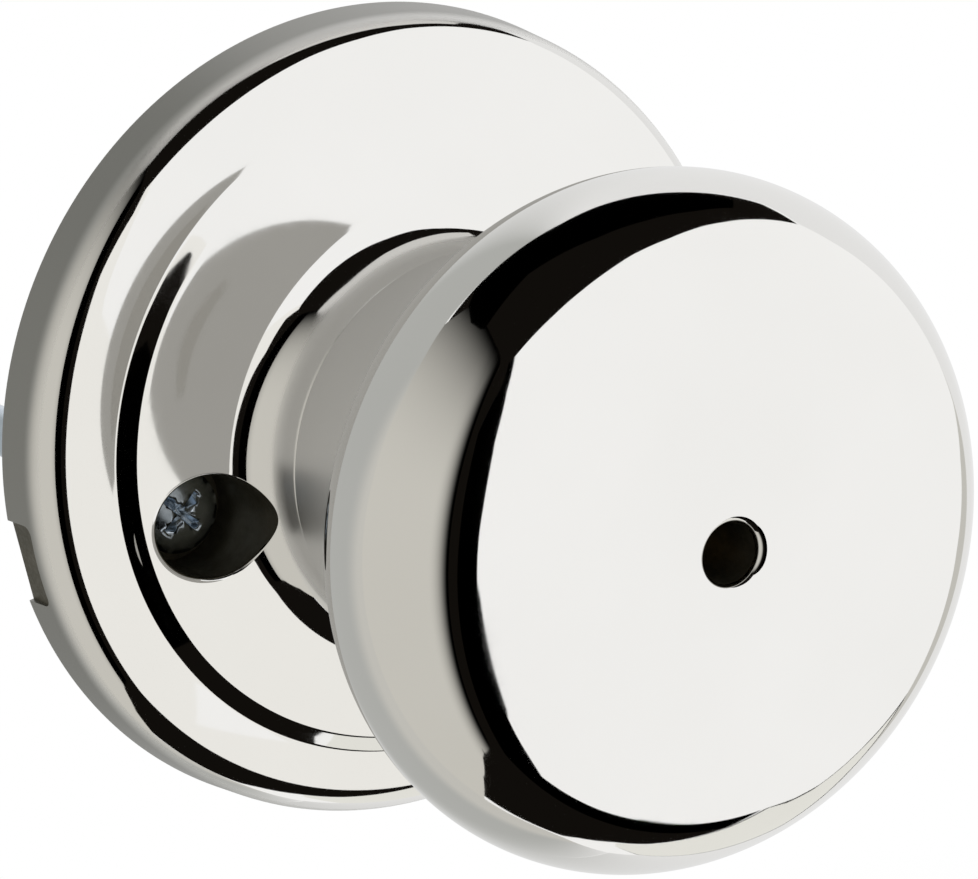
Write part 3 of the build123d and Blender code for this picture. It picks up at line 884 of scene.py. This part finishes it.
def clear_twice(finish):
    """Let what nickel mirrors from nickel pass through a card that lights one piece alone."""
    nodes = finish.node_tree.nodes
    clear = nodes.new("ShaderNodeBsdfTransparent")
    show_either(
        finish.node_tree,
        nodes["twice"].outputs["Value"],
        nodes["light"].outputs["Emission"],
        clear.outputs["BSDF"],
    )


def reach_along(tree, line):
    """Give how far each point of a card lies along a line."""
    place = tree.nodes.new("ShaderNodeTexCoord")
    along = tree.nodes.new("ShaderNodeVectorMath")
    along.operation = "DOT_PRODUCT"
    along.inputs[1].default_value = line
    tree.links.new(place.outputs["Object"], along.inputs[0])
    return along.outputs["Value"]


flag_black = new_glow("flag_black", (0.006, 0.005, 0.004))
hang_card(
    "ceiling_flag",
    facing=(0, 90),
    distance=2.5,
    corners=[
        (-180, 58), (-165, 57), (-150, 54), (-135, 46), (-122, 40), (-80, 40), (-45, 44), (-20, 48),
        (0, 52), (15, 54), (30, 55), (45, 55), (62, 50), (80, 44), (90, 36), (97, 27), (102, 19),
        (112, 23), (122, 35), (131, 42), (140, 48), (150, 54), (165, 57),
    ],
    finish=flag_black,
)
hang_card(
    "gap_flag",
    facing=(-22, 5),
    distance=2.5,
    corners=[
        (-62, 55), (-45, 58), (-24, 53), (-24, 48), (-18, 28), (-12, 8), (-6, -8), (-5, -18),
        (-5, -28), (-6, -40), (-6, -48), (-62, -50),
    ],
    finish=flag_black,
)
hang_card(
    "lower_flag",
    facing=(-40, -60),
    distance=2.2,
    corners=[
        (-108, -52), (-85, -47), (-60, -40), (-36, -34), (-19, -34), (-12, -46), (0, -47),
        (20, -49), (33, -51), (37, -55), (32, -65), (22, -73), (0, -77), (-20, -80), (-60, -81),
        (-100, -79), (-108, -74),
    ],
    finish=flag_black,
)

rosette_alone = bpy.data.collections.new("lit_by_rose_card")
rosette_alone.objects.link(rosette)
rose_glow = new_glow("rose_card_glow", (0.94, 0.93, 0.90))
clear_twice(rose_glow)
hang_card(
    "rose_card",
    facing=(5, -10),
    distance=1.8,
    corners=[
        (-20, 48), (-13, 28), (-6, 8), (2, -8), (5, -18), (6, -28), (4, -34), (0, -40), (20, -41.5),
        (36, -45.5), (37, -55), (20, -57), (0, -57), (-23, -55), (-23, -40), (-23, -20), (-23, 0),
        (-25, 15), (-28, 28), (-31, 48),
    ],
    finish=rose_glow,
    lights=rosette_alone,
)
rim_glow = new_glow("rim_card_glow", (0.66, 0.65, 0.63))
clear_twice(rim_glow)
hang_card(
    "rim_card",
    facing=(0, 90),
    distance=0.6,
    corners=[
        (-180, 59), (-165, 58.5), (-150, 62), (-125, 67), (-100, 70), (-92, 71), (-175, 82),
        (102, 71), (98, 58), (99, 45), (103, 34), (112, 30), (122, 37), (131, 44), (140, 50),
        (150, 55.5), (165, 58.5),
    ],
    finish=rim_glow,
    lights=rosette_alone,
)

side_turn = -100
side_distance = 0.8
front_distance = side_distance * 0.99
side_line = Vector((cos(radians(side_turn)), sin(radians(side_turn)), 0)) / side_distance
side_glow = new_glow("side_card_glow", (0.63, 0.615, 0.57))
tree = side_glow.node_tree
right_fade = ramp(tree, reach_along(tree, side_line), 1.95, 0.75)
top_fade = ramp(tree, axes(tree)["Z"], 3.1 * side_distance, 0.4 * side_distance)
fades = calculate(tree, "MULTIPLY", right_fade, top_fade)
strength = calculate(tree, "MAXIMUM", fades, tree.nodes["twice"].outputs["Value"])
tree.links.new(strength, tree.nodes["light"].inputs["Strength"])
hang_card(
    "side_card",
    facing=(side_turn, 0),
    distance=side_distance,
    corners=[
        (-150, 30), (-150, -40), (-113, -60), (-85, -55), (-60, -48), (-53, -46), (-49, -38),
        (-39, -35), (-39, 55), (-100, 76), (-150, 65),
    ],
    finish=side_glow,
)
knob_alone = bpy.data.collections.new("lit_by_front_card")
knob_alone.objects.link(knob)
front_glow = side_glow.copy()
front_glow.name = "front_card_glow"
clear_twice(front_glow)
hang_card(
    "front_card",
    facing=(side_turn, 0),
    distance=front_distance,
    corners=[(-52, -46), (-36, -42), (-35.5, 0), (-35.5, 60), (-52, 66)],
    finish=front_glow,
    lights=knob_alone,
)

back_distance = 0.6
back_tone = (0.47, 0.475, 0.46)
back_right_tone = (0.86, 0.86, 0.86, 1)
back_edge_tone = (0.60, 0.59, 0.555, 1)
back_glow = new_glow("back_card_glow", back_tone)
tree = back_glow.node_tree
plain = tree.nodes.new("ShaderNodeRGB")
plain.outputs["Color"].default_value = (*back_tone, 1)
spot = axes(tree)
lighter = ramp(tree, reach_along(tree, (1, 0, -0.2)), -0.05, 0.45)
edge_fade = ramp(tree, calculate(tree, "DIVIDE", spot["X"], spot["Y"]), -0.9, -1.65)
tone = mix_in(tree, lighter, plain.outputs["Color"], back_right_tone)
tone = mix_in(tree, edge_fade, tone, back_edge_tone)
tree.links.new(tone, tree.nodes["tint"].inputs["A"])
hang_card(
    "back_card_left",
    facing=(-151, -10),
    distance=back_distance,
    corners=[
        (-180, 58), (-165, 57), (-150, 53), (-138, 48), (-129, 40), (-123, 20), (-121, 0),
        (-118, -30), (-112, -57), (-110, -69), (-113, -79), (180, -82),
    ],
    finish=back_glow,
)
hang_card(
    "back_card_right",
    facing=(130, -20),
    distance=back_distance,
    corners=[
        (180, 58), (165, 57), (150, 54), (140, 48), (131, 42), (122, 35), (112, 23), (102, 19),
        (98, 0), (92, -18), (80, -24), (73, -32), (76, -40), (80, -46), (99, -54), (128, -55),
        (128, -69), (134, -82), (180, -82),
    ],
    finish=back_glow,
)

sweep_facing = (75, -75)
sweep_glow = new_glow("sweep_card_glow", (0.86, 0.855, 0.81))
hang_card(
    "sweep_card",
    facing=sweep_facing,
    distance=1.5,
    corners=[
        (38, -47), (47, -52), (57, -53.5), (67, -50), (80, -47), (99, -55), (127, -56), (127, -69),
        (134, -83), (0, -84), (0, -78), (22, -74), (32, -66), (38, -56),
    ],
    finish=sweep_glow,
)
hang_card(
    "sweep_edge",
    facing=sweep_facing,
    distance=1.55,
    corners=[
        (37, -46), (47, -51), (57, -52.6), (67, -49), (80, -45.8), (99, -54), (129, -55),
        (129, -69), (136, -83), (0, -84), (0, -78), (22, -74), (32, -66), (37, -56),
    ],
    finish=rose_glow,
    lights=rosette_alone,
)


# Camera: a long lens in front of the door, to the left of the knob and above it.
# It is rolled a little, so that the line of the two mounting screws lies aslant in the picture.
camera_back = Vector((-0.42399, -0.82931, 0.36397))
camera_right = Vector((0.82669, -0.51852, -0.21843))
camera_up = Vector((0.36986, 0.20828, 0.90543))
camera_distance = 540
camera_aside = 10.3846
camera_drop = 2.8018
lens = bpy.data.cameras.new("photo_camera")
lens.lens = 232.67
lens.sensor_width = 36.0
lens.clip_start = 0.01
lens.clip_end = 100.0
camera = bpy.data.objects.new("photo_camera", lens)
bpy.context.scene.collection.objects.link(camera)
stance = Matrix((camera_right, camera_up, camera_back)).transposed().to_4x4()
camera_place = camera_back * camera_distance + camera_right * camera_aside
camera_place = camera_place - camera_up * camera_drop
stance.translation = camera_place * mm
camera.matrix_world = stance
bpy.context.scene.camera = camera
bpy.context.scene.view_settings.view_transform = "Standard"
